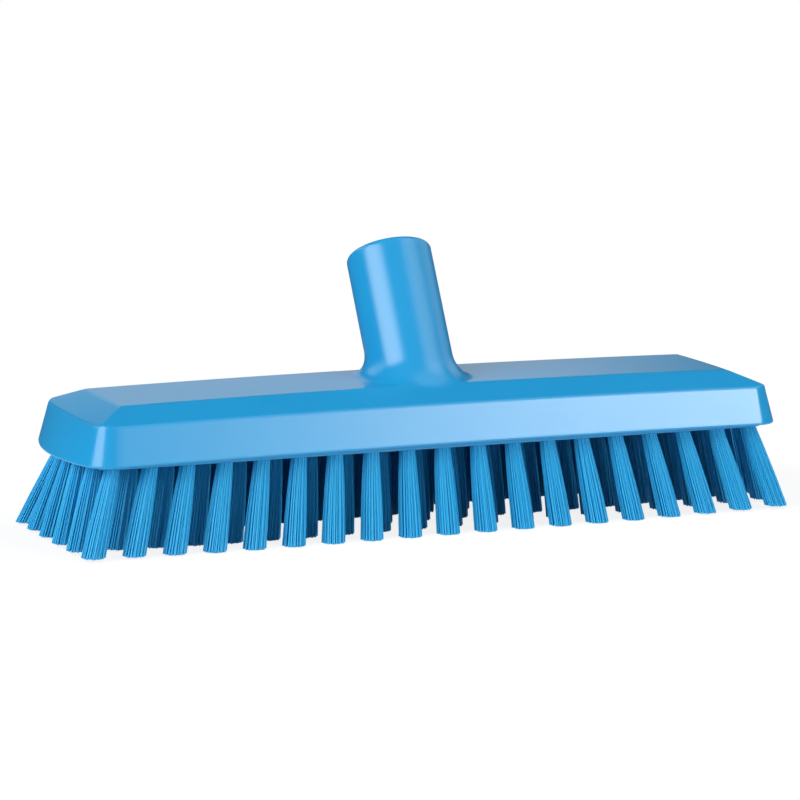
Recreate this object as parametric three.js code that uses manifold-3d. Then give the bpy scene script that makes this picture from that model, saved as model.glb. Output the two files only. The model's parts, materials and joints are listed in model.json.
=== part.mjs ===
// Water-fed scrub brush: a moulded block with a leaning handle socket, a tuft plate that closes
// the water chamber inside the block, and six rows of bristle tufts held by steel anchors.
// Millimetres, +Z up, X along the block, -Y to the front. The bristle tips stand on z = 0.
import * as THREE from 'three';
import { mergeVertices } from 'three/addons/utils/BufferGeometryUtils.js';
import Module from 'manifold-3d';

const wasm = await Module();
wasm.setup();

// Block: its outline at the rim, and the crease where the drafted wall meets the bevel.
const BLOCK_LENGTH = 270;
const BLOCK_WIDTH = 70;
const RIM_CORNER_RADIUS = 9.5;
const RIM_END_RADIUS = 90;
const SIDE_DRAFT = 3;
const END_DRAFT = 7.2;
const CREASE_CORNER_RADIUS = 6.5;
const CREASE_END_RADIUS = 400;

// Block: heights, and the bevel that runs round the top. Rim, crease and top all fall to the ends.
const RIM_CROWN = 0.8;
const WALL_HEIGHT = 14.1;
const WALL_CROWN = 1.4;
const BEVEL_WIDTH = 12.2;
const BEVEL_HEIGHT = 5;
const TOP_CROWN = 1.5;
const TOP_CORNER_RADIUS = 2;

// Handle socket: it leans back, and its bore narrows to the water port.
const SOCKET_LEAN = THREE.MathUtils.degToRad(30);
const SOCKET_Y = 0.3;
const SOCKET_RADIUS = 15.4;
const SOCKET_LENGTH = 48;
const SOCKET_FLOOR = 8;
const FILLET_WIDTH = 6.5;
const FILLET_HEIGHT = 9;
const FILLET_SINK = 0.2;
const SOCKET_SKIRT = 3;
const MOUTH_ROUNDING = 2;
const BORE_RADIUS = 12;
const PORT_RADIUS = 8;
const SEAL_THICKNESS = 2.5;

// Inside of the block: the recess for the plate's flange, and the water chamber above it.
const RIM_WALL = 4.7;
const FLANGE_RECESS = 5.6;
const LEDGE_WIDTH = 3.5;
const CHAMBER_WALL_HEIGHT = 5.5;
const CHAMBER_BEVEL = 11;
const ROOF = 4.5;

// Tuft plate: it stands proud of the rim, and water leaves through a row of outlets.
const FIT = 0.3;
const PLATE_STEP = 2;
const SLICE_THICKNESS = 2;
const PLUG_RISE = 2;
const OUTLET_COUNT = 9;
const OUTLET_RADIUS = 1.5;
const OUTLET_END_INSET = 16;

// Tufts: each row is spaced evenly between its two end tufts, and every tuft leans outwards.
// The rows towards the back are splayed further at their ends.
const ROW_COUNTS = [19, 20, 19, 20, 19, 20];
const SIDE_TUFT_INSET = 2.9;
const END_TUFT_INSET = 4.9;
const BRISTLE_LENGTH = 29.8;
const SIDE_FLARE = 6.1;
const END_FLARE = 8.9;
const BACK_SPLAY = 3.5;
const END_RISE = 1.6;
const REST_CUT = 0.5;
const STRANDS_PER_TUFT = 4;
const STRAND_SIDES = 3;
const ROOT_SPREAD = 1.6;
const TIP_SPREAD = 2.5;
const ROOT_STRAND_RADIUS = 1;
const TIP_STRAND_RADIUS = 1.15;
const ROOT_SINK = 1;

// Anchors: bent steel wire at the bottom of the tuft holes of the two outer rows.
const TUFT_HOLE_RADIUS = 2.4;
const TUFT_HOLE_DEPTH = 4;
const ANCHOR_HEIGHT = 3;
const ANCHOR_WIRE = 0.6;
const ANCHOR_WIRE_WIDTH = 1.2;

// Facets of the round stretches.
const END_STEPS = 4;
const CORNER_STEPS = 4;
const SIDE_STEPS = 9;
const FILLET_STEPS = 4;
const ROUNDING_STEPS = 2;
const SOCKET_SEGMENTS = 32;
const BORE_SEGMENTS = 24;
const HOLE_SEGMENTS = 8;

// Levels that follow from the sizes above.
const PLATE_Z = BRISTLE_LENGTH;
const SLICE_TOP = PLATE_Z + SLICE_THICKNESS;
const RIM_Z = PLATE_Z + PLATE_STEP;
const LEDGE_Z = RIM_Z + FLANGE_RECESS;
const CREASE_Z = RIM_Z + WALL_HEIGHT;
const TOP_Z = CREASE_Z + BEVEL_HEIGHT;
const ROOF_Z = TOP_Z - ROOF;
const BORE_DEPTH = SOCKET_LENGTH - SOCKET_FLOOR;

// Outlines of the block, each an end arc, a corner arc and a straight side, mirrored twice.
const rim = {
  halfLength: BLOCK_LENGTH / 2,
  halfWidth: BLOCK_WIDTH / 2,
  cornerRadius: RIM_CORNER_RADIUS,
  endRadius: RIM_END_RADIUS,
};
const crease = {
  halfLength: rim.halfLength - END_DRAFT,
  halfWidth: rim.halfWidth - SIDE_DRAFT,
  cornerRadius: CREASE_CORNER_RADIUS,
  endRadius: CREASE_END_RADIUS,
};
const top = {
  halfLength: crease.halfLength - BEVEL_WIDTH,
  halfWidth: crease.halfWidth - BEVEL_WIDTH,
  cornerRadius: TOP_CORNER_RADIUS,
  endRadius: CREASE_END_RADIUS,
};
const recess = inset(rim, RIM_WALL);
const chamber = inset(recess, LEDGE_WIDTH);
const chamberRoof = inset(chamber, CHAMBER_BEVEL);
const flange = inset(recess, FIT);
const plug = inset(chamber, FIT);

function inset(outline, distance) {
  return {
    halfLength: outline.halfLength - distance,
    halfWidth: outline.halfWidth - distance,
    cornerRadius: Math.max(outline.cornerRadius - distance, TOP_CORNER_RADIUS),
    endRadius: outline.endRadius - distance,
  };
}

// Where the end arc stands at a distance y from the middle of the end.
function endAt({ halfLength, endRadius }, y) {
  return halfLength - endRadius + Math.sqrt(endRadius ** 2 - y ** 2);
}

// One quarter of an outline, from the middle of the +X end to the middle of the +Y side.
function quarter({ halfLength, halfWidth, cornerRadius, endRadius }) {
  const endX = halfLength - endRadius;
  const cornerY = halfWidth - cornerRadius;
  const cornerX = endX + Math.sqrt((endRadius - cornerRadius) ** 2 - cornerY ** 2);
  const turn = Math.atan2(cornerY, cornerX - endX);
  const points = [];
  for (let i = 0; i < END_STEPS; i += 1) {
    const angle = (turn * i) / END_STEPS;
    points.push([endX + endRadius * Math.cos(angle), endRadius * Math.sin(angle)]);
  }
  for (let i = 0; i < CORNER_STEPS; i += 1) {
    const angle = turn + ((Math.PI / 2 - turn) * i) / CORNER_STEPS;
    points.push([cornerX + cornerRadius * Math.cos(angle), cornerY + cornerRadius * Math.sin(angle)]);
  }
  for (let i = 0; i <= SIDE_STEPS; i += 1) {
    points.push([cornerX * (1 - i / SIDE_STEPS), halfWidth]);
  }
  return points;
}

// The whole outline as a ring of points at a height that may follow x.
function ring(outline, height) {
  const first = quarter(outline);
  const last = first.length - 1;
  const half = [...first, ...first.slice(0, last).reverse().map(([x, y]) => [-x, y])];
  const whole = [...half, ...half.slice(1, -1).reverse().map(([x, y]) => [x, -y])];
  return whole.map(([x, y]) => new THREE.Vector3(x, y, height(x)));
}

function level(z) {
  return () => z;
}

function crowned(z, drop) {
  return (x) => z - drop * (x / rim.halfLength) ** 2;
}

// Height of the block's top at a place near its middle, on the flat or on the bevel beside it.
function topHeight(x, y) {
  const overBevel = Math.max(0, Math.abs(y) - top.halfWidth);
  return crowned(TOP_Z, TOP_CROWN)(x) - (overBevel * BEVEL_HEIGHT) / BEVEL_WIDTH;
}

// A closed body through rings of equal count, closed at both ends by strips across the ring.
function loft(rings) {
  const count = rings[0].length;
  const positions = rings.flat().flatMap((point) => point.toArray());
  const triangles = [];
  for (let r = 0; r + 1 < rings.length; r += 1) {
    for (let k = 0; k < count; k += 1) {
      const a = r * count + k;
      const b = r * count + ((k + 1) % count);
      triangles.push(a, b, b + count, a, b + count, a + count);
    }
  }
  const upper = (rings.length - 1) * count;
  for (let k = 0; k < count / 2; k += 1) {
    const across = (count - k) % count;
    const quad = [k, k + 1, count - k - 1, across];
    const strips = [[quad[0], quad[1], quad[2]], [quad[0], quad[2], quad[3]]];
    for (const [a, b, c] of strips) {
      if (a !== b && b !== c && c !== a) {
        triangles.push(upper + a, upper + b, upper + c, a, c, b);
      }
    }
  }
  const geometry = new THREE.BufferGeometry();
  geometry.setAttribute('position', new THREE.Float32BufferAttribute(positions, 3));
  geometry.setIndex(triangles);
  return geometry;
}

function prism(outline, bottom, height) {
  return loft([ring(outline, level(bottom)), ring(outline, level(height))]);
}

// A geometry as a solid that can be joined and cut.
function solid(geometry) {
  const bare = geometry.clone();
  bare.deleteAttribute('normal');
  bare.deleteAttribute('uv');
  const merged = mergeVertices(bare);
  return new wasm.Manifold(new wasm.Mesh({
    numProp: 3,
    vertProperties: new Float32Array(merged.getAttribute('position').array),
    triVerts: new Uint32Array(merged.getIndex().array),
  }));
}

function meshOf(name, body, material) {
  const { vertProperties, triVerts } = body.getMesh();
  const geometry = new THREE.BufferGeometry();
  geometry.setAttribute('position', new THREE.BufferAttribute(vertProperties, 3));
  geometry.setIndex(new THREE.BufferAttribute(triVerts, 1));
  geometry.computeVertexNormals();
  const mesh = new THREE.Mesh(geometry, material);
  mesh.name = name;
  return mesh;
}

function blockPlastic() {
  return new THREE.MeshStandardMaterial({ color: 0x1e8fd6, roughness: 0.35, metalness: 0 });
}

function bristlePolyester() {
  return new THREE.MeshStandardMaterial({ color: 0x2f9fd8, roughness: 0.5, metalness: 0 });
}

function sealRubber() {
  return new THREE.MeshStandardMaterial({ color: 0x1a1a1c, roughness: 0.8, metalness: 0 });
}

function anchorSteel() {
  return new THREE.MeshStandardMaterial({ color: 0xb8bcc0, roughness: 0.3, metalness: 1 });
}

// The socket's own frame: its Y axis is the socket's axis, from the top of the block outwards.
const socketFrame = new THREE.Group();
socketFrame.position.set(0, SOCKET_Y, TOP_Z);
socketFrame.rotation.x = Math.PI / 2 - SOCKET_LEAN;
socketFrame.updateMatrix();

function socketPoint(radius, angle, along) {
  const point = new THREE.Vector3(radius * Math.cos(angle), along, -radius * Math.sin(angle));
  return point.applyMatrix4(socketFrame.matrix);
}

function socketRing(pointAt) {
  const angles = Array.from({ length: SOCKET_SEGMENTS }, (_, i) => (2 * Math.PI * i) / SOCKET_SEGMENTS);
  return angles.map(pointAt);
}

// The concave fillet at the socket's foot: from the block's top at 0 to the socket's wall at 1.
// Its edge is let a little into the top, so that the two surfaces cross cleanly.
function footPoint(angle, rise) {
  const footAlong = SOCKET_RADIUS * Math.sin(angle) * Math.tan(SOCKET_LEAN);
  const foot = socketPoint(SOCKET_RADIUS, angle, footAlong);
  const onWall = socketPoint(SOCKET_RADIUS, angle, footAlong + FILLET_HEIGHT);
  const outwards = new THREE.Vector3(Math.cos(angle), Math.sin(angle) * Math.cos(SOCKET_LEAN), 0);
  const onTop = foot.clone().addScaledVector(outwards.normalize(), FILLET_WIDTH);
  onTop.z = topHeight(onTop.x, onTop.y) - FILLET_SINK;
  return new THREE.QuadraticBezierCurve3(onTop, foot, onWall).getPoint(rise);
}

function socketBody() {
  const drop = new THREE.Vector3(0, 0, -SOCKET_SKIRT);
  const rings = [socketRing((angle) => footPoint(angle, 0).add(drop))];
  for (let i = 0; i <= FILLET_STEPS; i += 1) {
    rings.push(socketRing((angle) => footPoint(angle, i / FILLET_STEPS)));
  }
  for (let i = 0; i <= ROUNDING_STEPS; i += 1) {
    const turn = ((Math.PI / 2) * i) / ROUNDING_STEPS;
    const radius = SOCKET_RADIUS - MOUTH_ROUNDING * (1 - Math.cos(turn));
    const along = SOCKET_LENGTH - MOUTH_ROUNDING * (1 - Math.sin(turn));
    rings.push(socketRing((angle) => socketPoint(radius, angle, along)));
  }
  return solid(loft(rings));
}

// A round cut along the socket's axis between two distances from the block's top.
function socketCut(radius, from, to, segments) {
  const geometry = new THREE.CylinderGeometry(radius, radius, to - from, segments);
  geometry.translate(0, (from + to) / 2, 0);
  return solid(geometry.applyMatrix4(socketFrame.matrix));
}

// Block and socket are one moulding, hollow below for the plate and the water chamber.
function blockShell() {
  const outside = solid(loft([
    ring(rim, crowned(RIM_Z, RIM_CROWN)),
    ring(crease, crowned(CREASE_Z, WALL_CROWN)),
    ring(top, crowned(TOP_Z, TOP_CROWN)),
  ]));
  const flangeRecess = solid(prism(recess, RIM_Z - RIM_CROWN - FIT, LEDGE_Z));
  const waterChamber = solid(loft([
    ring(chamber, level(LEDGE_Z - FIT)),
    ring(chamber, level(LEDGE_Z + CHAMBER_WALL_HEIGHT)),
    ring(chamberRoof, level(ROOF_Z)),
  ]));
  const portReach = (ROOF + PORT_RADIUS * Math.sin(SOCKET_LEAN) + FIT) / Math.cos(SOCKET_LEAN);
  const bore = socketCut(BORE_RADIUS, SOCKET_FLOOR, SOCKET_LENGTH + FIT, BORE_SEGMENTS);
  const port = socketCut(PORT_RADIUS, -portReach, SOCKET_FLOOR + FIT, BORE_SEGMENTS);
  const body = outside
    .add(socketBody())
    .subtract(flangeRecess)
    .subtract(waterChamber)
    .subtract(bore)
    .subtract(port);
  return meshOf('block_shell', body, blockPlastic());
}

// A flat rubber ring on the floor of the bore, where the handle's end seals against it.
function socketSeal() {
  const outer = BORE_RADIUS * Math.cos(Math.PI / BORE_SEGMENTS) - FIT;
  const bottom = SOCKET_FLOOR + FIT;
  const profile = [
    new THREE.Vector2(PORT_RADIUS, bottom),
    new THREE.Vector2(outer, bottom),
    new THREE.Vector2(outer, bottom + SEAL_THICKNESS),
    new THREE.Vector2(PORT_RADIUS, bottom + SEAL_THICKNESS),
    new THREE.Vector2(PORT_RADIUS, bottom),
  ];
  const mesh = meshOf('socket_seal', solid(new THREE.LatheGeometry(profile, BORE_SEGMENTS)), sealRubber());
  socketFrame.add(mesh);
  return socketFrame;
}

// Rows of tufts: the place of each tuft on the plate's underside and the end of its lean.
const edgeY = flange.halfWidth - SIDE_TUFT_INSET;
const lastRow = ROW_COUNTS.length - 1;

function rowY(row) {
  return edgeY * ((2 * row) / lastRow - 1);
}

const rows = ROW_COUNTS.map((count, row) => {
  const y = rowY(row);
  const endX = endAt(flange, y) - END_TUFT_INSET;
  const splay = BACK_SPLAY * (1 - (1 - row / lastRow) ** 2);
  const tipX = endAt(flange, edgeY) - END_TUFT_INSET + END_FLARE + splay;
  return Array.from({ length: count }, (_, i) => {
    const along = (2 * i) / (count - 1) - 1;
    return {
      root: new THREE.Vector3(along * endX, y, PLATE_Z),
      tip: new THREE.Vector3(
        along * tipX,
        y + (SIDE_FLARE * y) / edgeY,
        Math.max(0, END_RISE * along ** 2 - REST_CUT),
      ),
    };
  });
});

// One strand: a slim prism that spreads from the root to a level tip, sunk into the plate slice.
function strandSections({ root, tip }, index) {
  const turn = (2 * Math.PI * (index + 0.5)) / STRANDS_PER_TUFT;
  const outwards = new THREE.Vector3(Math.cos(turn), Math.sin(turn), 0);
  const low = tip.clone().addScaledVector(outwards, TIP_SPREAD);
  const high = root.clone().addScaledVector(outwards, ROOT_SPREAD);
  const sunk = high.clone().add(new THREE.Vector3(0, 0, ROOT_SINK));
  const section = (centre, radius) => Array.from({ length: STRAND_SIDES }, (_, side) => {
    const angle = turn + (2 * Math.PI * side) / STRAND_SIDES;
    return new THREE.Vector3(centre.x + radius * Math.cos(angle), centre.y + radius * Math.sin(angle), centre.z);
  });
  return [
    section(low, TIP_STRAND_RADIUS),
    section(high, ROOT_STRAND_RADIUS),
    section(sunk, ROOT_STRAND_RADIUS),
  ];
}

// All strands of some tufts in one geometry.
function strandGeometry(tufts) {
  const positions = [];
  const triangles = [];
  for (const tuft of tufts) {
    for (let index = 0; index < STRANDS_PER_TUFT; index += 1) {
      const sections = strandSections(tuft, index);
      const first = positions.length / 3;
      const upper = first + (sections.length - 1) * STRAND_SIDES;
      positions.push(...sections.flat().flatMap((point) => point.toArray()));
      for (let s = 0; s + 1 < sections.length; s += 1) {
        for (let k = 0; k < STRAND_SIDES; k += 1) {
          const a = first + s * STRAND_SIDES + k;
          const b = first + s * STRAND_SIDES + ((k + 1) % STRAND_SIDES);
          triangles.push(a, b, b + STRAND_SIDES, a, b + STRAND_SIDES, a + STRAND_SIDES);
        }
      }
      for (let k = 1; k + 1 < STRAND_SIDES; k += 1) {
        triangles.push(first, first + k + 1, first + k, upper, upper + k, upper + k + 1);
      }
    }
  }
  const geometry = new THREE.BufferGeometry();
  geometry.setAttribute('position', new THREE.Float32BufferAttribute(positions, 3));
  geometry.setIndex(triangles);
  return geometry;
}

// Drills for the water outlets, through the plate and its slices along the middle of the block.
const outletReach = chamber.halfLength - OUTLET_END_INSET;
const outletXs = Array.from({ length: OUTLET_COUNT }, (_, i) => (
  outletReach * ((2 * i) / (OUTLET_COUNT - 1) - 1)
));

function drill(x, y, radius, bottom, height) {
  const geometry = new THREE.CylinderGeometry(radius, radius, height - bottom, HOLE_SEGMENTS);
  geometry.rotateX(Math.PI / 2);
  geometry.rotateZ(Math.PI / HOLE_SEGMENTS);
  geometry.translate(x, y, (bottom + height) / 2);
  return solid(geometry);
}

function withOutlets(body) {
  const drills = outletXs.map((x) => drill(x, 0, OUTLET_RADIUS, PLATE_Z - FIT, CREASE_Z));
  return drills.reduce((left, hole) => left.subtract(hole), body);
}

// The plate closes the chamber: a flange in the recess, a plug that centres it, tuft holes below.
const plateBottom = SLICE_TOP + FIT;
const outerRows = [rows[0], rows[lastRow]];

function tuftPlate() {
  const flangeBody = solid(prism(flange, plateBottom, LEDGE_Z - FIT));
  const plugBody = solid(prism(plug, plateBottom + FIT, LEDGE_Z + PLUG_RISE));
  const holes = outerRows.flat().map(({ root }) => (
    drill(root.x, root.y, TUFT_HOLE_RADIUS, plateBottom - FIT, plateBottom + TUFT_HOLE_DEPTH)
  ));
  const body = holes.reduce((left, hole) => left.subtract(hole), flangeBody.add(plugBody));
  return meshOf('tuft_plate', withOutlets(body), blockPlastic());
}

// Bristles of neighbouring rows, fused to the slice of the plate's underside that carries them.
function bristles(name, from, to) {
  const low = from === 0 ? -BLOCK_WIDTH : rowY(from - 0.5) + FIT / 2;
  const high = to === lastRow ? BLOCK_WIDTH : rowY(to + 0.5) - FIT / 2;
  const band = new THREE.BoxGeometry(BLOCK_LENGTH, high - low, BRISTLE_LENGTH);
  band.translate(0, (low + high) / 2, SLICE_TOP);
  const slice = solid(prism(flange, PLATE_Z, SLICE_TOP)).intersect(solid(band));
  const strands = solid(strandGeometry(rows.slice(from, to + 1).flat()));
  return meshOf(name, withOutlets(slice).add(strands), bristlePolyester());
}

// An anchor: a bent wire across its tuft hole, legs up into the plate.
function anchor(name, { root }) {
  const reach = TUFT_HOLE_RADIUS * Math.cos(Math.PI / HOLE_SEGMENTS) - FIT;
  const half = Math.sqrt(reach ** 2 - (ANCHOR_WIRE_WIDTH / 2) ** 2);
  const shape = new THREE.Shape([
    new THREE.Vector2(-half, 0),
    new THREE.Vector2(half, 0),
    new THREE.Vector2(half, ANCHOR_HEIGHT),
    new THREE.Vector2(half - ANCHOR_WIRE, ANCHOR_HEIGHT),
    new THREE.Vector2(half - ANCHOR_WIRE, ANCHOR_WIRE),
    new THREE.Vector2(ANCHOR_WIRE - half, ANCHOR_WIRE),
    new THREE.Vector2(ANCHOR_WIRE - half, ANCHOR_HEIGHT),
    new THREE.Vector2(-half, ANCHOR_HEIGHT),
  ]);
  const geometry = new THREE.ExtrudeGeometry(shape, { depth: ANCHOR_WIRE_WIDTH, bevelEnabled: false });
  geometry.translate(0, 0, -ANCHOR_WIRE_WIDTH / 2);
  const mesh = meshOf(name, solid(geometry), anchorSteel());
  mesh.rotation.x = Math.PI / 2;
  mesh.position.set(root.x, root.y, plateBottom + TUFT_HOLE_DEPTH - FIT - ANCHOR_HEIGHT);
  return mesh;
}

function anchorRow(label, tufts) {
  return tufts.map((tuft, i) => anchor(`anchor_${label}_${String(i + 1).padStart(2, '0')}`, tuft));
}

const brush = new THREE.Group();
brush.add(blockShell());
brush.add(socketSeal());
brush.add(tuftPlate());
brush.add(bristles('bristles_front_row', 0, 0));
brush.add(bristles('bristles_inner_front', 1, 2));
brush.add(bristles('bristles_inner_back', 3, lastRow - 1));
brush.add(bristles('bristles_back_row', lastRow, lastRow));
brush.add(...anchorRow('front', rows[0]));
brush.add(...anchorRow('back', rows[lastRow]));

// The brush stands with the middle of its bounding box over the origin.
const reachBox = new THREE.Box3().setFromObject(brush);
brush.position.y = -(reachBox.min.y + reachBox.max.y) / 2;

export default brush;
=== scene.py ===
import json
import math
from dataclasses import dataclass

import bmesh
import bpy
import numpy as np
from mathutils import Matrix, Vector


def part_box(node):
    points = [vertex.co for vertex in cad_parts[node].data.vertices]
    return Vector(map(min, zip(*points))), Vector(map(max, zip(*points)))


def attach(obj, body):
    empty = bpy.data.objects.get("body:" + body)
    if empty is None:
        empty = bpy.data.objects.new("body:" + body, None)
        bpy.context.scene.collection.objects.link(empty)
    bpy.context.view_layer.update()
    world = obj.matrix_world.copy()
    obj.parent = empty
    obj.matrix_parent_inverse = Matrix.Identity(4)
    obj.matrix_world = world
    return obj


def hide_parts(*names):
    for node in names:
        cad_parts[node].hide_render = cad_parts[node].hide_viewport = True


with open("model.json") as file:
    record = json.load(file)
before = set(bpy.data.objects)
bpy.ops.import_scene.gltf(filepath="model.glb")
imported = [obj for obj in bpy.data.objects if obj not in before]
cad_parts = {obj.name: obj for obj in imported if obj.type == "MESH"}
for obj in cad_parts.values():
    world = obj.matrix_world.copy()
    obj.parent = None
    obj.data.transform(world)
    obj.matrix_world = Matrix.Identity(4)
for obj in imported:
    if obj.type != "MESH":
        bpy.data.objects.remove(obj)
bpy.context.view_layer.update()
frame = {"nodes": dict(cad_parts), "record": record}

# Block shell: the one big moulding, a bevelled block with the handle socket leaning back out of
# its top. It is injection-moulded in glossy blue plastic, open below for the plate that closes
# its water chamber, and threaded inside the socket for a handle.
mm = 0.001
block_low, block_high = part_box("block_shell")
plate_low, plate_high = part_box("tuft_plate")
middle_y = (plate_low.y + plate_high.y) / 2

rim_crown = 0.8 * mm
rim_corner = 9.5 * mm
rim_end_arc = 90 * mm
rim_rounding = 0.9 * mm
wall_height = 14.1 * mm
wall_crown = 1.4 * mm
side_draft = 3 * mm
end_draft = 7.2 * mm
crease_corner = 6.5 * mm
crease_end_arc = 400 * mm
crease_rounding = 0.6 * mm
bevel_width = 12.2 * mm
bevel_height = 5 * mm
top_crown = 1.5 * mm
top_softness = 0.45 * mm
hip_softness = 0.25 * mm

rim_wall = 4.7 * mm
recess_depth = 5.6 * mm
ledge_width = 3.5 * mm
chamber_wall = 5.5 * mm
chamber_bevel = 11 * mm
roof_thickness = 4.5 * mm
least_corner = 2 * mm

rim_z = block_low.z + rim_crown
ledge_z = rim_z + recess_depth
top_z = rim_z + wall_height + bevel_height
roof_z = top_z - roof_thickness

socket_radius = 15.4 * mm
socket_length = 48 * mm
socket_floor = 8 * mm
fillet_width = 6.5 * mm
fillet_height = 9 * mm
fillet_fullness = 0.55
mouth_rounding = 2 * mm
mouth_chamfer = 0.6 * mm
bore_radius = 12 * mm
port_radius = 8 * mm
thread_pitch = 5 * mm
thread_depth = 1.1 * mm
thread_runout = 3 * mm
ridge_width = 0.5
ridge_steepness = 0.9

end_steps = 14
corner_steps = 14
side_steps = 34
foot_steps = 28
rounding_steps = 8
edge_support = 0.4 * mm
bevel_rows, fold_rows, flat_rows = 8, 12, 9
fold_span, fold_clearance = 0.055, 0.07
crease_search = (0.7, 1.3)
search_rounds = 30
fillet_steps = 14
slope_step = 0.2 * mm
socket_wall_shares = (0.03, 0.5, 0.97)
thread_steps = 96
weld_distance = 0.002 * mm
sharp_angle = math.radians(40)

deep_blue = (0.012, 0.300, 0.622, 1)
bright_blue = (0.015, 0.324, 0.662, 1)
flow_scale = 22.0
peel_scale = 900.0
peel_strength = 0.05
peel_depth = 0.02 * mm
plastic_ior = 1.5


def handle_mouth():
    """The socket's axis, and the middle of its mouth in the block's own frame."""
    seat = next(m for m in frame["record"]["mounts"] if m["name"] == "handle_seat")
    axis = np.array(seat["axis"])
    mouth = np.array([0, seat["pos_m"][1] - middle_y, seat["pos_m"][2]])
    return axis / np.linalg.norm(axis), mouth


socket_axis, socket_mouth = handle_mouth()
socket_foot = socket_mouth - socket_length * socket_axis
lean = math.asin(socket_axis[1])


def socket_ring(radius, turn, along):
    """Points round the socket's axis, at a distance along it from the block's top."""
    across = np.stack([
        np.cos(turn),
        np.sin(turn) * math.cos(lean),
        -np.sin(turn) * math.sin(lean),
    ], -1)
    radius = np.broadcast_to(radius, turn.shape)
    along = np.broadcast_to(along, turn.shape)
    return socket_foot + radius[:, None] * across + along[:, None] * socket_axis


def level_along(radius, turn, z):
    """How far along the socket's axis a line of its wall meets the level z."""
    return (z - socket_foot[2] + radius * np.sin(turn) * math.sin(lean)) / math.cos(lean)


def fillet_edge(turn):
    """Where the fillet at the socket's foot runs out, from above, and the way outwards there."""
    foot = socket_ring(socket_radius, turn, level_along(socket_radius, turn, socket_foot[2]))
    outwards = np.stack([np.cos(turn), np.sin(turn) * math.cos(lean)], -1)
    outwards /= np.linalg.norm(outwards, axis=1)[:, None]
    return foot[:, :2] + fillet_width * outwards, outwards


foot_turn = np.linspace(0, math.pi / 2, foot_steps + 1)
foot_columns = fillet_edge(foot_turn)[0][:, 0]


def around(first, second, third, fourth):
    """Values of the four quarters of an outline, chained once round from the +X end."""
    return np.concatenate([first, second[-2::-1], third[1:], fourth[-2:0:-1]])


@dataclass
class Outline:
    """A rounded oblong in plan: an end arc, a corner arc and a straight side, mirrored twice."""

    half_length: float
    half_width: float
    corner_radius: float
    end_radius: float

    def inset(self, distance):
        return Outline(
            self.half_length - distance,
            self.half_width - distance,
            max(self.corner_radius - distance, least_corner),
            self.end_radius - distance,
        )

    def end_at(self, y):
        return self.half_length - self.end_radius + np.sqrt(self.end_radius**2 - y**2)

    def ring(self, height):
        """The outline's points, at one height or at a height that follows x."""
        end_r, corner_r = self.end_radius, self.corner_radius
        end_x = self.half_length - end_r
        corner_y = self.half_width - corner_r
        corner_x = end_x + math.sqrt((end_r - corner_r) ** 2 - corner_y**2)
        corner_start = math.atan2(corner_y, corner_x - end_x)
        end = np.linspace(0, corner_start, end_steps, endpoint=False)
        corner = np.linspace(corner_start, math.pi / 2, corner_steps, endpoint=False)
        straight = np.linspace(corner_x, foot_columns[0], side_steps, endpoint=False)
        side_x = np.append(straight, foot_columns)
        side_y = np.full(len(side_x), self.half_width)
        x = np.concatenate([end_r * np.cos(end) + end_x, corner_r * np.cos(corner) + corner_x, side_x])
        y = np.concatenate([end_r * np.sin(end), corner_r * np.sin(corner) + corner_y, side_y])
        x = around(x, -x, -x, x)
        y = around(y, y, -y, -y)
        z = height(x) if callable(height) else np.full(len(x), height)
        return np.stack([x, y, z], -1)


rim = Outline(block_high.x, middle_y - block_low.y, rim_corner, rim_end_arc)
crease = Outline(
    rim.half_length - end_draft, rim.half_width - side_draft, crease_corner, crease_end_arc,
)
recess = rim.inset(rim_wall)
chamber = recess.inset(ledge_width)
chamber_roof = chamber.inset(chamber_bevel)


def columns_round_socket():
    """The turn of the socket where each of the block's columns meets it, or NaN for the others."""
    no_turn = np.full(end_steps + corner_steps + side_steps, np.nan)
    turn = np.append(no_turn, foot_turn)
    return around(turn, math.pi - turn, math.pi + turn, 2 * math.pi - turn)


column_turn = columns_round_socket()
at_foot = ~np.isnan(column_turn)
socket_turn = np.linspace(0, 2 * math.pi, 4 * foot_steps, endpoint=False)


def rim_height(x):
    return rim_z - rim_crown * (x / rim.half_length) ** 2


def crease_height(x):
    return rim_z + wall_height - wall_crown * (x / rim.half_length) ** 2


def flat_height(x):
    return top_z - top_crown * (x / rim.half_length) ** 2


def soft_min(a, b, softness):
    """The lower of two heights, rounded off where they meet."""
    near = np.maximum(softness - np.abs(a - b), 0) / softness
    return np.minimum(a, b) - near**2 * softness / 4


def top_height(x, y):
    """The block's top: the crowned flat, and the bevels of its sides and ends, meeting in hips."""
    side_rise = (crease.half_width - np.abs(y)) / bevel_width
    side = crease_height(x) + (flat_height(x) - crease_height(x)) * side_rise
    end_rise = (crease.end_at(y) - np.abs(x)) / bevel_width
    end_foot = crease_height(crease.half_length)
    end_head = flat_height(crease.half_length - bevel_width)
    end = end_foot + (end_head - end_foot) * end_rise
    return soft_min(soft_min(side, end, hip_softness), flat_height(x), top_softness)


def on_top(plan):
    return np.column_stack([plan, top_height(plan[:, 0], plan[:, 1])])


def directions(vectors):
    return vectors / np.linalg.norm(vectors, axis=1)[:, None]


def rounded(before, corner, after, steps):
    """Rows of a rounded edge, from one side of its sharp corner to the other."""
    shares = np.linspace(0, 1, steps + 1)
    return [(1 - t) ** 2 * before + 2 * t * (1 - t) * corner + t**2 * after for t in shares]


def inner_ends(outline_ring, foot_points):
    """Where the columns over a flat end: at the socket, or on the spine along the middle."""
    spine = crease.half_length - crease.half_width
    ends = np.stack([np.clip(outline_ring[:, 0], -spine, spine), np.zeros(len(outline_ring))], -1)
    ends[at_foot] = foot_points
    return ends


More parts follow.
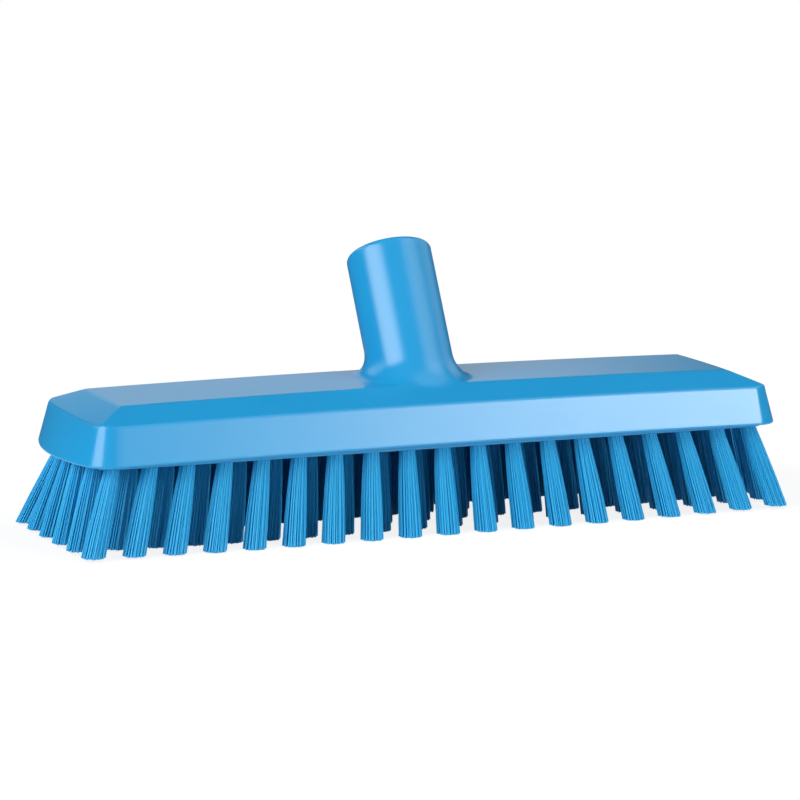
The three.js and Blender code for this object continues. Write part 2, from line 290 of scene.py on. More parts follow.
def wall_head(foot, head):
    """Where the wall, drawn on past the crease if need be, meets the block's top."""
    low = np.full(len(foot), crease_search[0])
    high = np.full(len(foot), crease_search[1])
    for _ in range(search_rounds):
        share = (low + high) / 2
        point = foot + share[:, None] * (head - foot)
        over = point[:, 2] > top_height(point[:, 0], point[:, 1])
        high = np.where(over, share, high)
        low = np.where(over, low, share)
    return foot + low[:, None] * (head - foot)


def top_rows_from(edge):
    """Rows over the top from the crease to the socket, close together where bevel meets flat."""
    ends = inner_ends(edge, fillet_edge(column_turn[at_foot])[0])
    reach = np.linalg.norm(ends - edge[:, :2], axis=1)
    inwards = directions(ends - edge[:, :2])
    fold = (bevel_width - crease_rounding) / (crease.half_width - crease_rounding)
    shares = np.concatenate([
        np.linspace(0, fold - fold_clearance, bevel_rows),
        np.linspace(fold - fold_span, fold + fold_span, fold_rows),
        np.linspace(fold + fold_clearance, 1, flat_rows),
    ])
    rows = []
    for share in shares:
        distance = crease_rounding + (reach - crease_rounding) * share
        rows.append(on_top(edge[:, :2] + distance[:, None] * inwards))
    return rows


def wall_and_top():
    """Rows from the chamber's roof down, round the rim, up the wall and over the top."""
    foot = rim.ring(rim_height)
    head = crease.ring(crease_height)
    edge = wall_head(foot, head)
    up = directions(head - foot)
    top_rows = top_rows_from(edge)

    roof_ring = chamber_roof.ring(roof_z)
    port_turn = column_turn[at_foot]
    port = socket_ring(port_radius, port_turn, level_along(port_radius, port_turn, roof_z))
    roof_ends = np.column_stack([inner_ends(roof_ring, port[:, :2]), roof_ring[:, 2]])
    recess_edge = recess.ring(rim_height)
    rim_inwards = directions(recess_edge - foot)
    rim_start, rim_stop = foot + rim_rounding * rim_inwards, foot + rim_rounding * up
    return [
        roof_ends,
        roof_ring,
        chamber.ring(ledge_z + chamber_wall),
        chamber.ring(ledge_z),
        recess.ring(ledge_z),
        recess_edge + (0, 0, edge_support),
        recess_edge - edge_support * rim_inwards,
        foot + (rim_rounding + edge_support) * rim_inwards,
        *rounded(rim_start, foot, rim_stop, rounding_steps),
        foot + (rim_rounding + edge_support) * up,
        (foot + edge) / 2,
        edge - (crease_rounding + edge_support) * up,
        *rounded(edge - crease_rounding * up, edge, top_rows[0], rounding_steps)[:-1],
        *top_rows,
    ]


def fillet_rows(turn, foot_along):
    """Rows of the fillet, from the block's top up to the socket's wall."""
    plan, outwards = fillet_edge(turn)
    start = on_top(plan)
    climb = (on_top(plan - slope_step * outwards) - start) / slope_step
    stop = socket_ring(socket_radius, turn, foot_along)
    first = start + fillet_fullness * fillet_width * climb
    second = stop - fillet_fullness * fillet_height * socket_axis
    rows = []
    for t in np.linspace(0, 1, fillet_steps + 1):
        lower = (1 - t) ** 3 * start + 3 * t * (1 - t) ** 2 * first
        rows.append(lower + 3 * t**2 * (1 - t) * second + t**3 * stop)
    return rows


def bore_rows(turn):
    """Rows down the bore, whose thread starts below the mouth and runs out above the floor."""
    thread_top = socket_length - mouth_chamfer
    rows = []
    for along in np.linspace(thread_top, socket_floor, thread_steps):
        wave = np.cos(2 * math.pi * along / thread_pitch - turn)
        ridge = np.clip(ridge_width + ridge_steepness * wave, 0, 1)
        fade = min((along - socket_floor) / thread_runout, (thread_top - along) / thread_runout, 1)
        rows.append(socket_ring(bore_radius + thread_depth * fade * (1 - ridge), turn, along))
    return rows


def socket_rows():
    """Rows from the foot's fillet up the socket, round its mouth and down the threaded bore."""
    turn = socket_turn
    foot_along = level_along(socket_radius, turn, socket_foot[2]) + fillet_height
    rows = fillet_rows(turn, foot_along)
    wall_top = socket_length - mouth_rounding
    for share in socket_wall_shares:
        rows.append(socket_ring(socket_radius, turn, foot_along + share * (wall_top - foot_along)))
    for quarter in np.linspace(0, math.pi / 2, rounding_steps + 1):
        radius = socket_radius - mouth_rounding * (1 - math.cos(quarter))
        along = socket_length - mouth_rounding * (1 - math.sin(quarter))
        rows.append(socket_ring(radius, turn, along))
    rows.append(socket_ring(bore_radius + mouth_chamfer, turn, socket_length))
    rows += bore_rows(turn)
    rows.append(socket_ring(port_radius, turn, socket_floor))
    rows.append(socket_ring(port_radius, turn, level_along(port_radius, turn, roof_z)))
    return rows


def net(rows):
    """Corners and quads of rows that each close on themselves."""
    count = len(rows[0])
    quads = []
    for row in range(len(rows) - 1):
        for k in range(count):
            a = row * count + k
            b = row * count + (k + 1) % count
            quads.append((a, b, b + count, a + count))
    return np.concatenate(rows), quads


def welded_mesh(name, nets):
    """One closed mesh from nets that share edges, moved from the block's frame to the part's."""
    bm = bmesh.new()
    for corners, quads in nets:
        made = [bm.verts.new((x, y + middle_y, z)) for x, y, z in corners.tolist()]
        for quad in quads:
            bm.faces.new([made[k] for k in quad])
    bmesh.ops.remove_doubles(bm, verts=bm.verts, dist=weld_distance)
    bmesh.ops.dissolve_degenerate(bm, edges=bm.edges, dist=weld_distance)
    bmesh.ops.recalc_face_normals(bm, faces=bm.faces)
    mesh = bpy.data.meshes.new(name)
    bm.to_mesh(mesh)
    bm.free()
    mesh.shade_smooth()
    mesh.set_sharp_from_angle(angle=sharp_angle)
    return mesh


def in_scene(name, data):
    """A new object at the origin for a mesh or a camera."""
    made = bpy.data.objects.new(name, data)
    bpy.context.scene.collection.objects.link(made)
    return made


def placed(name, mesh, material):
    """The piece as an object at the origin, fixed to the brush."""
    piece = in_scene(name, mesh)
    mesh.materials.clear()
    mesh.materials.append(material)
    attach(piece, "root")
    return piece


class Wire:
    """One output of a node tree, which goes into sums and products like a number."""

    def __init__(self, tree, socket=None):
        self.tree = tree
        self.socket = socket

    def node(self, kind, settings, sockets, output=0):
        made = self.tree.nodes.new(kind)
        for name, value in settings.items():
            setattr(made, name, value)
        for name, value in sockets.items():
            if isinstance(value, Wire):
                self.tree.links.new(value.socket, made.inputs[name])
            else:
                made.inputs[name].default_value = value
        return Wire(self.tree, made.outputs[output] if made.outputs else None)

    def other(self, output):
        return Wire(self.tree, self.socket.node.outputs[output])

    def math(self, operation, *values):
        return self.node("ShaderNodeMath", {"operation": operation}, dict(enumerate(values)))

    def __add__(self, other):
        return self.math("ADD", self, other)

    def __rsub__(self, other):
        return self.math("SUBTRACT", other, self)

    def __mul__(self, other):
        return self.math("MULTIPLY", self, other)

    def __truediv__(self, other):
        return self.math("DIVIDE", self, other)

    def __pow__(self, other):
        return self.math("POWER", self, other)

    __radd__ = __add__
    __rmul__ = __mul__


def shader_tree(name):
    material = bpy.data.materials.new(name)
    material.use_nodes = True
    material.node_tree.nodes.clear()
    return material, Wire(material.node_tree)


def clouds(wire, scale, detail):
    """Noise that stays on the piece, finer as the scale goes up."""
    place = wire.node("ShaderNodeTexCoord", {}, {}, "Object")
    return wire.node("ShaderNodeTexNoise", {}, {"Vector": place, "Scale": scale, "Detail": detail})


def blended(wire, share, first, second):
    """A colour from the first to the second."""
    return wire.node("ShaderNodeMix", {"data_type": "RGBA"}, {0: share, 6: first, 7: second}, 2)


def relief(wire, height, strength, depth):
    return wire.node(
        "ShaderNodeBump", {},
        {"Strength": strength, "Distance": depth, "Height": height},
    )


def finished(material, wire, sockets):
    """The material, with its nodes closed by one shader that takes these values."""
    surface = wire.node("ShaderNodeBsdfPrincipled", {}, sockets)
    wire.node("ShaderNodeOutputMaterial", {}, {"Surface": surface})
    return material


def moulded_plastic():
    """Glossy blue polypropylene: faint flow clouds in the colour, slight orange peel on the skin."""
    material, wire = shader_tree("moulded_blue_plastic")
    flow = clouds(wire, flow_scale, 3.0)
    peel = clouds(wire, peel_scale, 2.0)
    return finished(material, wire, {
        "Base Color": blended(wire, flow, deep_blue, bright_blue),
        "Roughness": 0.16 + 0.08 * flow,
        "IOR": plastic_ior,
        "Normal": relief(wire, peel, peel_strength, peel_depth),
    })


blue_plastic = moulded_plastic()
shell_mesh = welded_mesh("block_shell", [net(wall_and_top()), net(socket_rows())])
shell = placed("moulded_block", shell_mesh, blue_plastic)
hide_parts("block_shell")

# Socket seal: a flat rubber ring on the floor of the bore, where the handle's end presses and
# keeps the water in. It is cut with rounded edges and only laid in.
seal_gap = 0.3 * mm
seal_thickness = 2.5 * mm
seal_rounding = 0.6 * mm
rubber_black = (0.008, 0.008, 0.009, 1)
rubber_dust = (0.022, 0.022, 0.024, 1)
dust_scale = 400.0
dust_strength = 0.3
dust_depth = 0.05 * mm


def seal_rows():
    """Rows once round the ring's section, a quarter round at each of its corners."""
    inner = port_radius + seal_rounding
    outer = bore_radius - 2 * seal_gap - seal_rounding
    low = socket_floor + seal_gap + seal_rounding
    high = socket_floor + seal_gap + seal_thickness - seal_rounding
    corners = [(inner, low), (outer, low), (outer, high), (inner, high)]
    rows = []
    for quarter, (radius, along) in enumerate(corners):
        for step in np.linspace(0, math.pi / 2, rounding_steps // 2 + 1):
            angle = math.pi + quarter * math.pi / 2 + step
            corner = radius + seal_rounding * math.cos(angle)
            rows.append(socket_ring(corner, socket_turn, along + seal_rounding * math.sin(angle)))
    return [*rows, rows[0]]


def seal_rubber():
    """Black rubber with a dull, slightly dusty skin."""
    material, wire = shader_tree("seal_rubber")
    dust = clouds(wire, dust_scale, 4.0)
    return finished(material, wire, {
        "Base Color": blended(wire, dust, rubber_black, rubber_dust),
        "Roughness": 0.6 + 0.25 * dust,
        "Normal": relief(wire, dust, dust_strength, dust_depth),
    })


seal = placed("rubber_seal", welded_mesh("socket_seal", [net(seal_rows())]), seal_rubber())
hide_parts("socket_seal")

# Tuft plate: a moulding of the same blue plastic that closes the water chamber. Its flange sits
# in the block's recess, its plug centres it, and its underside is drilled for the tufts and for
# the water outlets.
slice_thickness = 2 * mm
plate_gap = 0.3 * mm
plate_rounding = 0.5 * mm
plate_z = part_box("bristles_front_row")[1].z - slice_thickness
plate = rim.inset(rim_wall + plate_gap)
plug = chamber.inset(plate_gap)
tuft_hole_radius = 2.4 * mm
tuft_hole_top = plate_low.z + 4 * mm
outlet_count = 9
outlet_radius = 1.5 * mm
outlet_end_inset = 16 * mm
hole_sides = 20
hole_sharp_angle = math.radians(30)

row_counts = [19, 20, 19, 20, 19, 20]
side_tuft_inset = 2.9 * mm
end_tuft_inset = 4.9 * mm
side_flare = 6.1 * mm
end_flare = 8.9 * mm
back_splay = 3.5 * mm
end_rise = 1.6 * mm
rest_cut = 0.5 * mm


def tuft_row(row):
    """Roots and tips of one row: evenly spaced along it, leaning out towards ends and sides.

    The rows towards the back are splayed further at their ends.
    """
    depth = row / (len(row_counts) - 1)
    edge = plate.half_width - side_tuft_inset
    y = edge * (2 * depth - 1)
    reach = plate.end_at(y) - end_tuft_inset
    splay = back_splay * (1 - (1 - depth) ** 2)
    tip_reach = plate.end_at(edge) - end_tuft_inset + end_flare + splay
    along = np.linspace(-1, 1, row_counts[row])
    level = np.ones_like(along)
    root = np.stack([along * reach, level * (y + middle_y), level * plate_z], -1)
    tip_y = level * (y + side_flare * y / edge + middle_y)
    tip_z = np.maximum(end_rise * along**2 - rest_cut, 0)
    return root, np.stack([along * tip_reach, tip_y, tip_z], -1)


tuft_rows = [tuft_row(row) for row in range(len(row_counts))]


def point_cloud(name, points, attributes):
    """Loose points that carry the vectors which Geometry Nodes read from them."""
    mesh = bpy.data.meshes.new(name)
    mesh.from_pydata(points.tolist(), [], [])
    for key, vectors in attributes.items():
        layer = mesh.attributes.new(key, "FLOAT_VECTOR", "POINT")
        layer.data.foreach_set("vector", np.asarray(vectors, np.float32).ravel())
    return in_scene(name, mesh)


def geometry_tree(name, inputs):
    """A node tree with a geometry in and out, and named inputs for its sizes and its material."""
    tree = bpy.data.node_groups.new(name, "GeometryNodeTree")
    tree.interface.new_socket("Geometry", in_out="INPUT", socket_type="NodeSocketGeometry")
    tree.interface.new_socket("Geometry", in_out="OUTPUT", socket_type="NodeSocketGeometry")
    for label, kind in {**inputs, "Material": "Material"}.items():
        tree.interface.new_socket(label, in_out="INPUT", socket_type="NodeSocket" + kind)
    wire = Wire(tree)
    return wire, wire.node("NodeGroupInput", {}, {}, "Geometry")


def stored_vector(wire, name):
    return wire.node(
        "GeometryNodeInputNamedAttribute", {"data_type": "FLOAT_VECTOR"}, {"Name": name},
    )


def closed_tree(wire, source, shape):
    """The tree, ended in a plain mesh of the shape in its material."""
    plain = wire.node("GeometryNodeRealizeInstances", {}, {"Geometry": shape})
    coloured = wire.node(
        "GeometryNodeSetMaterial", {},
        {"Geometry": plain, "Material": source.other("Material")},
    )
    wire.node("NodeGroupOutput", {}, {0: coloured})
    return wire.tree


def grown(base, tree, values):
    """The plain mesh that a node tree makes from a base object with these sizes."""
    modifier = base.modifiers.new(tree.name, "NODES")
    modifier.node_group = tree
    for item in tree.interface.items_tree:
        if item.in_out == "INPUT" and item.name in values:
            modifier[item.identifier] = values[item.name]
    bpy.context.view_layer.update()
    depsgraph = bpy.context.evaluated_depsgraph_get()
    mesh = bpy.data.meshes.new_from_object(base.evaluated_get(depsgraph), depsgraph=depsgraph)
    bpy.data.objects.remove(base)
    return mesh


def perforating():
    """Cuts a round hole at each point of the drilling plan, as wide and deep as the point says."""
    wire, body = geometry_tree("perforated", {"Drilling plan": "Object", "Sides": "Int"})
    plan = wire.node("GeometryNodeObjectInfo", {}, {0: body.other("Drilling plan")}, "Geometry")
    points = wire.node("GeometryNodeMeshToPoints", {}, {"Mesh": plan})
    drill = wire.node(
        "GeometryNodeMeshCylinder", {},
        {"Vertices": body.other("Sides"), "Radius": 1.0, "Depth": 1.0},
    )
    drills = wire.node(
        "GeometryNodeInstanceOnPoints", {},
        {"Points": points, "Instance": drill, "Scale": stored_vector(wire, "hole")},
    )
    solid = wire.node("GeometryNodeRealizeInstances", {}, {"Geometry": drills})
    cut = wire.node(
        "GeometryNodeMeshBoolean", {"operation": "DIFFERENCE", "solver": "EXACT"},
        {"Mesh 1": body, "Mesh 2": solid},
    )
    return closed_tree(wire, body, cut)


def drilling_plan():
    """The middle of each hole, with its radius twice and its depth."""
    roots = np.concatenate([root for root, tip in tuft_rows])
    reach = chamber.half_length - outlet_end_inset
    outlets = np.stack([
        np.linspace(-reach, reach, outlet_count),
        np.full(outlet_count, middle_y),
        np.full(outlet_count, (plate_z + plate_high.z) / 2),
    ], -1)
    hole_depth = tuft_hole_top - plate_z
    roots[:, 2] = plate_z + (hole_depth - edge_support) / 2
    hole = [tuft_hole_radius, tuft_hole_radius, hole_depth + edge_support]
    outlet = [outlet_radius, outlet_radius, plate_high.z - plate_z + 2 * edge_support]
    sizes = np.concatenate([np.tile(hole, (len(roots), 1)), np.tile(outlet, (outlet_count, 1))])
    return point_cloud("drilling_plan", np.concatenate([roots, outlets]), {"hole": sizes})


def plate_body():
    """The plate before it is drilled: rows up its flange and plug, and a cap at each end."""
    flange_top = ledge_z - plate_gap
    inside, outside = plate.inset(plate_rounding).ring(plate_z), plate.ring(plate_z)
    rows = [
        *rounded(inside, outside, plate.ring(plate_z + plate_rounding), rounding_steps // 2),
        plate.ring(flange_top - edge_support),
        plate.inset(edge_support).ring(flange_top),
        plug.ring(flange_top),
        plug.ring(plate_high.z - edge_support),
        plug.inset(edge_support).ring(plate_high.z),
    ]
    corners, quads = net(rows)
    count = len(rows[0])
    caps = [tuple(range(count)), tuple(range(len(corners) - count, len(corners)))]
    return welded_mesh("tuft_plate", [(corners, quads + caps)])


plan = drilling_plan()
plate_mesh = grown(
    in_scene("plate_blank", plate_body()), perforating(),
    {"Drilling plan": plan, "Sides": hole_sides, "Material": blue_plastic},
)
bpy.data.objects.remove(plan)
plate_mesh.set_sharp_from_angle(angle=hole_sharp_angle)
plate_piece = placed("drilled_plate", plate_mesh, blue_plastic)
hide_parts("tuft_plate")

# Anchors: a short bent length of stainless wire holds each folded tuft at the bottom of its hole.
# Those of the two outer rows are already there; these are the ones of the four inner rows.
outer_low, outer_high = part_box("anchor_front_01")
anchor_wire = 0.6 * mm
anchor_width = outer_high.y - outer_low.y
bend_radius = 0.5 * mm
bend_points = 4
steel_dark = (0.40, 0.42, 0.44, 1)
steel_bright = (0.62, 0.63, 0.65, 1)
draw_mark_scale = (300, 4000, 4000)


def stapling():
    """One bent wire at each point: a U drawn as a line, its bends rounded, given its section."""
    wire, cloud = geometry_tree(
        "wire_anchors", {"Bent line": "Object", "Thickness": "Float", "Width": "Float"},
    )
    line = wire.node("GeometryNodeObjectInfo", {}, {0: cloud.other("Bent line")}, "Geometry")
    path = wire.node("GeometryNodeMeshToCurve", {}, {"Mesh": line})
    bent = wire.node(
        "GeometryNodeFilletCurve", {"mode": "POLY"},
        {"Curve": path, "Count": bend_points, "Radius": bend_radius},
    )
    section = wire.node(
        "GeometryNodeCurvePrimitiveQuadrilateral", {"mode": "RECTANGLE"},
        {"Width": cloud.other("Width"), "Height": cloud.other("Thickness")},
    )
    staple = wire.node(
        "GeometryNodeCurveToMesh", {},
        {"Curve": bent, "Profile Curve": section, "Fill Caps": True},
    )
    points = wire.node("GeometryNodeMeshToPoints", {}, {"Mesh": cloud})
    staples = wire.node(
        "GeometryNodeInstanceOnPoints", {}, {"Points": points, "Instance": staple},
    )
    return closed_tree(wire, cloud, staples)


def drawn_steel():
    """Drawn stainless wire: bright, with fine marks along its length."""
    material, wire = shader_tree("drawn_steel_wire")
    place = wire.node("ShaderNodeTexCoord", {}, {}, "Object")
    stretched = wire.node("ShaderNodeMapping", {}, {"Vector": place, "Scale": draw_mark_scale})
    marks = wire.node(
        "ShaderNodeTexNoise", {}, {"Vector": stretched, "Scale": 1.0, "Detail": 3.0},
    )
    return finished(material, wire, {
        "Base Color": blended(wire, marks, steel_dark, steel_bright),
        "Roughness": 0.22 + 0.2 * marks,
        "Metallic": 1.0,
    })


def bent_line():
    """The U that an anchor's wire follows, as wide and high as the outer rows' anchors."""
    half = (outer_high.x - outer_low.x - anchor_wire) / 2
    height = outer_high.z - outer_low.z - anchor_wire / 2
    corners = [(-half, 0, height), (-half, 0, 0), (half, 0, 0), (half, 0, height)]
    mesh = bpy.data.meshes.new("bent_line")
    mesh.from_pydata(corners, [(0, 1), (1, 2), (2, 3)], [])
    return in_scene("bent_line", mesh)


steel = drawn_steel()
inner_roots = np.concatenate([root for root, tip in tuft_rows[1:-1]])
inner_roots[:, 2] = outer_low.z + anchor_wire / 2
line = bent_line()
anchor_mesh = grown(
    point_cloud("anchor_places", inner_roots, {}), stapling(),
    {"Bent line": line, "Thickness": anchor_wire, "Width": anchor_width, "Material": steel},
)
bpy.data.objects.remove(line)
inner_anchors = placed("inner_row_anchors", anchor_mesh, steel)
for node, part in frame["nodes"].items():
    if node.startswith("anchor_"):
        part.data.materials.clear()
        part.data.materials.append(steel)

# Bristles: each tuft is a bundle of stiff blue polyester filaments, folded double round its anchor
# and trimmed level. The bundle fills its hole at the root and fans out towards the tips.
filaments_per_tuft = 90
filament_radius = 0.33 * mm
filament_sides = 5
filament_points = 4
root_spread = 2.35 * mm
tip_spread = 3.95 * mm
bundle_bulge = 0.25 * mm
tip_scatter = 0.12 * mm
trim_scatter = 0.12 * mm
bow_scatter = 0.06 * mm
root_sink = 2.5 * mm
golden_angle = math.pi * (3 - math.sqrt(5))
filament_seed = 11
filament_deep = (0.016, 0.362, 0.71, 1)
filament_bright = (0.030, 0.438, 0.785, 1)
# The paler blue that each filament's colour turns towards at its tip end.
filament_pale_end = (0.10, 0.51, 0.85, 1)
pale_end_share = 0.2
pale_end_onset = 16
filament_specular = 0.25
bristle_groups = {
    "bristles_front_row": [0],
    "bristles_inner_front": [1, 2],
    "bristles_inner_back": [3, 4],
    "bristles_back_row": [5],
}


def tufting():
    """Filaments packed like seeds in each tuft, each a slim tube from root to scattered tip."""
    wire, cloud = geometry_tree("tufts", {
        "Filaments": "Int",
        "Filament radius": "Float",
        "Root spread": "Float",
        "Tip spread": "Float",
        "Seed": "Int",
    })

    def scattered(low, high, seed_step):
        return wire.node(
            "FunctionNodeRandomValue", {"data_type": "FLOAT_VECTOR"},
            {0: low, 1: high, "Seed": cloud.other("Seed") + seed_step},
        )

    def summed(a, b):
        return wire.node("ShaderNodeVectorMath", {"operation": "ADD"}, {0: a, 1: b})

    def scaled(vector, factor):
        return wire.node(
            "ShaderNodeVectorMath", {"operation": "SCALE"}, {0: vector, "Scale": factor},
        )

    def marked(geometry, name, kind, value):
        return wire.node(
            "GeometryNodeStoreNamedAttribute", {"data_type": kind, "domain": "POINT"},
            {"Geometry": geometry, "Name": name, "Value": value},
        )

    points = wire.node("GeometryNodeMeshToPoints", {}, {"Mesh": cloud})
    copies = wire.node(
        "GeometryNodeDuplicateElements", {"domain": "POINT"},
        {"Geometry": points, "Amount": cloud.other("Filaments")},
    )
    number = copies.other("Duplicate Index")
    turn = number * golden_angle
    radius = ((number + 0.5) / cloud.other("Filaments")) ** 0.5
    disc = wire.node(
        "ShaderNodeCombineXYZ", {},
        {0: turn.math("COSINE", turn) * radius, 1: turn.math("SINE", turn) * radius},
    )
    place = wire.node("GeometryNodeInputPosition", {}, {})
    tip = summed(stored_vector(wire, "tip"), scaled(disc, cloud.other("Tip spread")))
    jitter = scattered((-tip_scatter, -tip_scatter, 0), (tip_scatter, tip_scatter, trim_scatter), 1)
    bow = scattered((-bow_scatter, -bow_scatter, 0), (bow_scatter, bow_scatter, 0), 2)
    marks = {
        "root_at": summed(place, scaled(disc, cloud.other("Root spread"))),
        "tip_at": summed(tip, jitter),
        "bow": summed(bow, scaled(disc, bundle_bulge)),
        "tint": scattered((0, 0, 0), (1, 1, 1), 3),
    }
    for name, value in marks.items():
        copies = marked(copies, name, "FLOAT_VECTOR", value)

    line = wire.node("GeometryNodeCurvePrimitiveLine", {}, {"End": (0, 0, -mm)})
    strand = wire.node("GeometryNodeResampleCurve", {}, {"Curve": line, "Count": filament_points})
    strands = wire.node("GeometryNodeInstanceOnPoints", {}, {"Points": copies, "Instance": strand})
    curves = wire.node("GeometryNodeRealizeInstances", {}, {"Geometry": strands})
    along = wire.node("GeometryNodeSplineParameter", {}, {}, "Factor")
    straight = wire.node(
        "ShaderNodeMix", {"data_type": "VECTOR"},
        {0: along, 4: stored_vector(wire, "root_at"), 5: stored_vector(wire, "tip_at")}, 1,
    )
    bowed = summed(straight, scaled(stored_vector(wire, "bow"), 4 * along * (1 - along)))
    laid = wire.node("GeometryNodeSetPosition", {}, {"Geometry": curves, "Position": bowed})
    section = wire.node(
        "GeometryNodeCurvePrimitiveCircle", {},
        {"Resolution": filament_sides, "Radius": cloud.other("Filament radius")},
    )
    tubes = wire.node("GeometryNodeCurveToMesh", {}, {
        "Curve": marked(laid, "along", "FLOAT", along),
        "Profile Curve": section,
        "Fill Caps": True,
    })
    return closed_tree(wire, cloud, tubes)


def polyester_filament():
    """Extruded polyester: each filament a little lighter or darker, and paler towards its tip."""
    material, wire = shader_tree("polyester_filament")
    tint = wire.node("ShaderNodeAttribute", {"attribute_name": "tint"}, {}, "Vector")
    tint = wire.node("ShaderNodeSeparateXYZ", {}, {0: tint})
    along = wire.node("ShaderNodeAttribute", {"attribute_name": "along"}, {}, "Fac")
    colour = blended(wire, tint, filament_deep, filament_bright)
    return finished(material, wire, {
        # The last part of each filament is blended paler towards its tip.
        "Base Color": blended(wire, pale_end_share * along**pale_end_onset, colour, filament_pale_end),
        "Roughness": 0.38 + 0.12 * tint.other("Y"),
        "Specular IOR Level": filament_specular,
    })


bristle_blue = polyester_filament()
tuft_tree = tufting()
for node, rows in bristle_groups.items():
    roots = np.concatenate([tuft_rows[row][0] for row in rows])
    tips = np.concatenate([tuft_rows[row][1] for row in rows])
    leans = (roots - tips) / (roots - tips)[:, 2:]
    cloud = point_cloud(node + "_tufts", roots + root_sink * leans, {"tip": tips})
    bristle_mesh = grown(cloud, tuft_tree, {
        "Filaments": filaments_per_tuft,
        "Filament radius": filament_radius,
        "Root spread": root_spread,
        "Tip spread": tip_spread,
        "Seed": filament_seed + rows[0],
        "Material": bristle_blue,
    })
    for spent in ("root_at", "tip_at", "bow"):
        bristle_mesh.attributes.remove(bristle_mesh.attributes[spent])
    bristle_mesh.shade_smooth()
    tufts = placed(node.replace("bristles", "filaments"), bristle_mesh, bristle_blue)
    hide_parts(node)

# Stage: a white floor that keeps a faint shadow, and a dim room with soft panels at the front,
# sides and back and a pale backdrop, as in a product shot. The camera stands at the brush's front
# left, a little above it.
view_turn = math.radians(22.4)
view_rise = math.radians(9.5)
view_roll = math.radians(0.35)
view_distance = 1205 * mm
view_target = np.array([-4.96 * mm, middle_y, 42.36 * mm])
focal_pixels = 3385
frame_pixels = 800

floor_half_length = 400 * mm
floor_half_depth = 300 * mm
floor_paper = (0.92, 0.92, 0.92, 1)
floor_sheet = (0.95, 0.95, 0.95, 1)
floor_glow = 1.06
floor_glow_share = 0.8


@dataclass
class Panel:
    """A soft-edged panel of light: its turn to the right of the front, its rise, half its width
    and height and the softness of its edge, all in degrees, and its strength."""

    turn: float
    rise: float
    half_turn: float
    half_rise: float
    soft: float
    strength: float


room_light = 0.06
key_panel = Panel(turn=27, rise=13.5, half_turn=13, half_rise=5.6, soft=7, strength=14.4)
key_dim_turn, key_full_turn = 17.5, 28
key_dimmest = 0.04
other_panels = {
    "left side": Panel(turn=-74, rise=27, half_turn=22.5, half_rise=16, soft=19, strength=6.0),
    "fill": Panel(turn=55, rise=46, half_turn=20, half_rise=14, soft=24, strength=1.95),
    "backdrop": Panel(turn=164, rise=14, half_turn=11, half_rise=14, soft=6, strength=0.51),
    "rear": Panel(turn=225, rise=30, half_turn=24, half_rise=10, soft=14, strength=1.2),
    "far end": Panel(turn=108, rise=24, half_turn=22, half_rise=14, soft=20, strength=0.8),
}
canopy_way, canopy_start, canopy_stop, canopy_strength = (0, -0.6, 0.8), 0.3, 0.75, 0.26
overhead_way, overhead_start, overhead_stop = (0.4, -0.05, 0.9), 0.906, 0.956
overhead_strength = 0.7
panel_fade = 0.2
least_depth = 0.05


def photo_camera():
    back = np.array([
        -math.sin(view_turn) * math.cos(view_rise),
        -math.cos(view_turn) * math.cos(view_rise),
        math.sin(view_rise),
    ])
    right = np.array([math.cos(view_turn), -math.sin(view_turn), 0])
    up = np.cross(back, right)
    rolled_right = right * math.cos(view_roll) + up * math.sin(view_roll)
    rolled_up = up * math.cos(view_roll) - right * math.sin(view_roll)
    data = bpy.data.cameras.new("photo_camera")
    data.lens = focal_pixels / frame_pixels * data.sensor_width
    camera = in_scene("photo_camera", data)
    place = Matrix([rolled_right, rolled_up, back]).transposed().to_4x4()
    place.translation = Vector(view_target + view_distance * back)
    camera.matrix_world = place
    bpy.context.scene.camera = camera


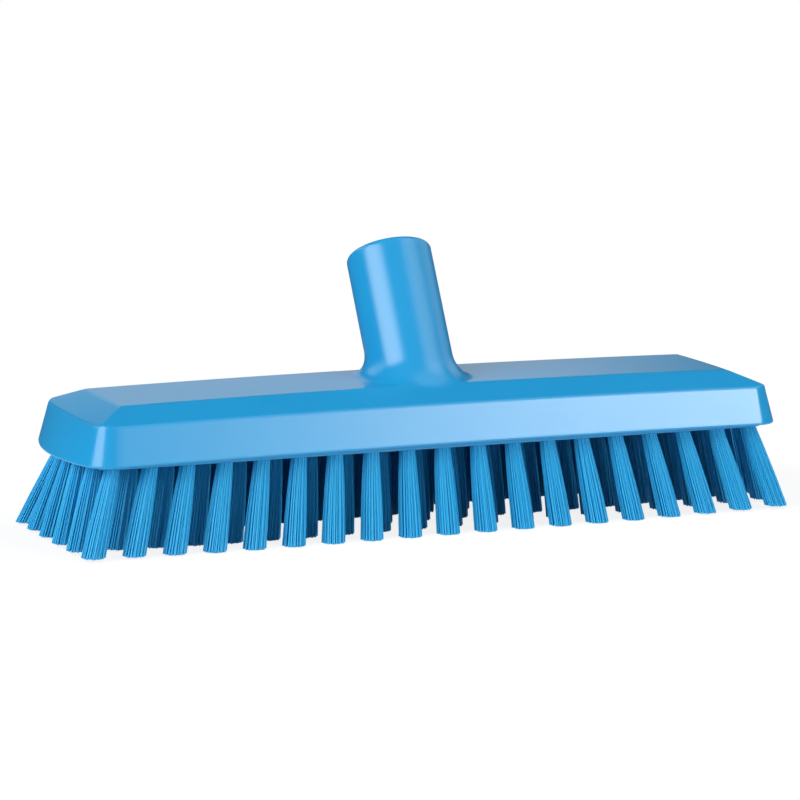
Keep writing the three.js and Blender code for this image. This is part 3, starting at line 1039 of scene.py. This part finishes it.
def studio_world():
    """White to the camera; to everything else a dim room with a few soft panels."""
    world = bpy.data.worlds.new("studio")
    bpy.context.scene.world = world
    world.use_nodes = True
    world.node_tree.nodes.clear()
    wire = Wire(world.node_tree)
    direction = wire.node("ShaderNodeTexCoord", {}, {}, "Generated")

    def facing(axis):
        return wire.node(
            "ShaderNodeVectorMath", {"operation": "DOT_PRODUCT"},
            {0: direction, 1: axis}, "Value",
        )

    def ramp(value, start, stop):
        return wire.node(
            "ShaderNodeMapRange", {"interpolation_type": "SMOOTHSTEP"},
            {"Value": value, "From Min": start, "From Max": stop},
        )

    def glow(panel):
        """How much of a panel each direction sees, from 0 to 1."""
        turn, rise = math.radians(panel.turn), math.radians(panel.rise)
        flat = math.cos(rise)
        middle = (math.sin(turn) * flat, -math.cos(turn) * flat, math.sin(rise))
        across = (math.cos(turn), math.sin(turn), 0)
        upwards = (-math.sin(turn) * math.sin(rise), math.cos(turn) * math.sin(rise), flat)
        depth = facing(middle)
        mask = ramp(depth, 0, panel_fade)
        for axis, half in ((across, panel.half_turn), (upwards, panel.half_rise)):
            offset = facing(axis) / depth.math("MAXIMUM", depth, least_depth)
            offset = offset.math("ABSOLUTE", offset)
            outside = math.tan(math.radians(half + panel.soft / 2))
            inside = math.tan(math.radians(max(half - panel.soft / 2, 0)))
            mask = mask * ramp(offset, outside, inside)
        return mask

    rightwards = ramp(
        facing((1, 0, 0)),
        math.sin(math.radians(key_dim_turn)), math.sin(math.radians(key_full_turn)),
    )
    key = glow(key_panel) * (key_dimmest + (1 - key_dimmest) * rightwards)
    light = room_light + key_panel.strength * key
    for panel in other_panels.values():
        light = light + panel.strength * glow(panel)
    light = light + canopy_strength * ramp(facing(canopy_way), canopy_start, canopy_stop)
    light = light + overhead_strength * ramp(facing(overhead_way), overhead_start, overhead_stop)
    rays = wire.node("ShaderNodeLightPath", {}, {}, "Is Camera Ray")
    seen = rays.math("MAXIMUM", rays, rays.other("Is Transmission Ray"))
    surface = wire.node(
        "ShaderNodeBackground", {},
        {"Color": (1, 1, 1, 1), "Strength": seen + (1 - seen) * light},
    )
    wire.node("ShaderNodeOutputWorld", {}, {"Surface": surface})


def white_floor():
    """White to the camera and in reflections, with a faint shadow; plain paper to other light."""
    material, wire = shader_tree("white_floor")
    paper = wire.node("ShaderNodeBsdfDiffuse", {}, {"Color": floor_paper})
    sheet = wire.node("ShaderNodeBsdfDiffuse", {}, {"Color": floor_sheet})
    glow = wire.node("ShaderNodeEmission", {}, {"Color": (1, 1, 1, 1), "Strength": floor_glow})
    white = wire.node("ShaderNodeMixShader", {}, {0: floor_glow_share, 1: sheet, 2: glow})
    rays = wire.node("ShaderNodeLightPath", {}, {}, "Is Camera Ray")
    seen = rays.math("MAXIMUM", rays, rays.other("Is Glossy Ray"))
    seen = seen.math("MAXIMUM", seen, rays.other("Is Transmission Ray"))
    surface = wire.node("ShaderNodeMixShader", {}, {0: seen, 1: paper, 2: white})
    wire.node("ShaderNodeOutputMaterial", {}, {"Surface": surface})
    right, back = floor_half_length, floor_half_depth
    corners = [(-right, -back, 0), (right, -back, 0), (right, back, 0), (-right, back, 0)]
    mesh = bpy.data.meshes.new("floor")
    mesh.from_pydata(corners, [], [(0, 1, 2, 3)])
    mesh.materials.append(material)
    floor = in_scene("floor", mesh)


photo_camera()
studio_world()
white_floor()
bpy.context.scene.view_settings.view_transform = "Standard"
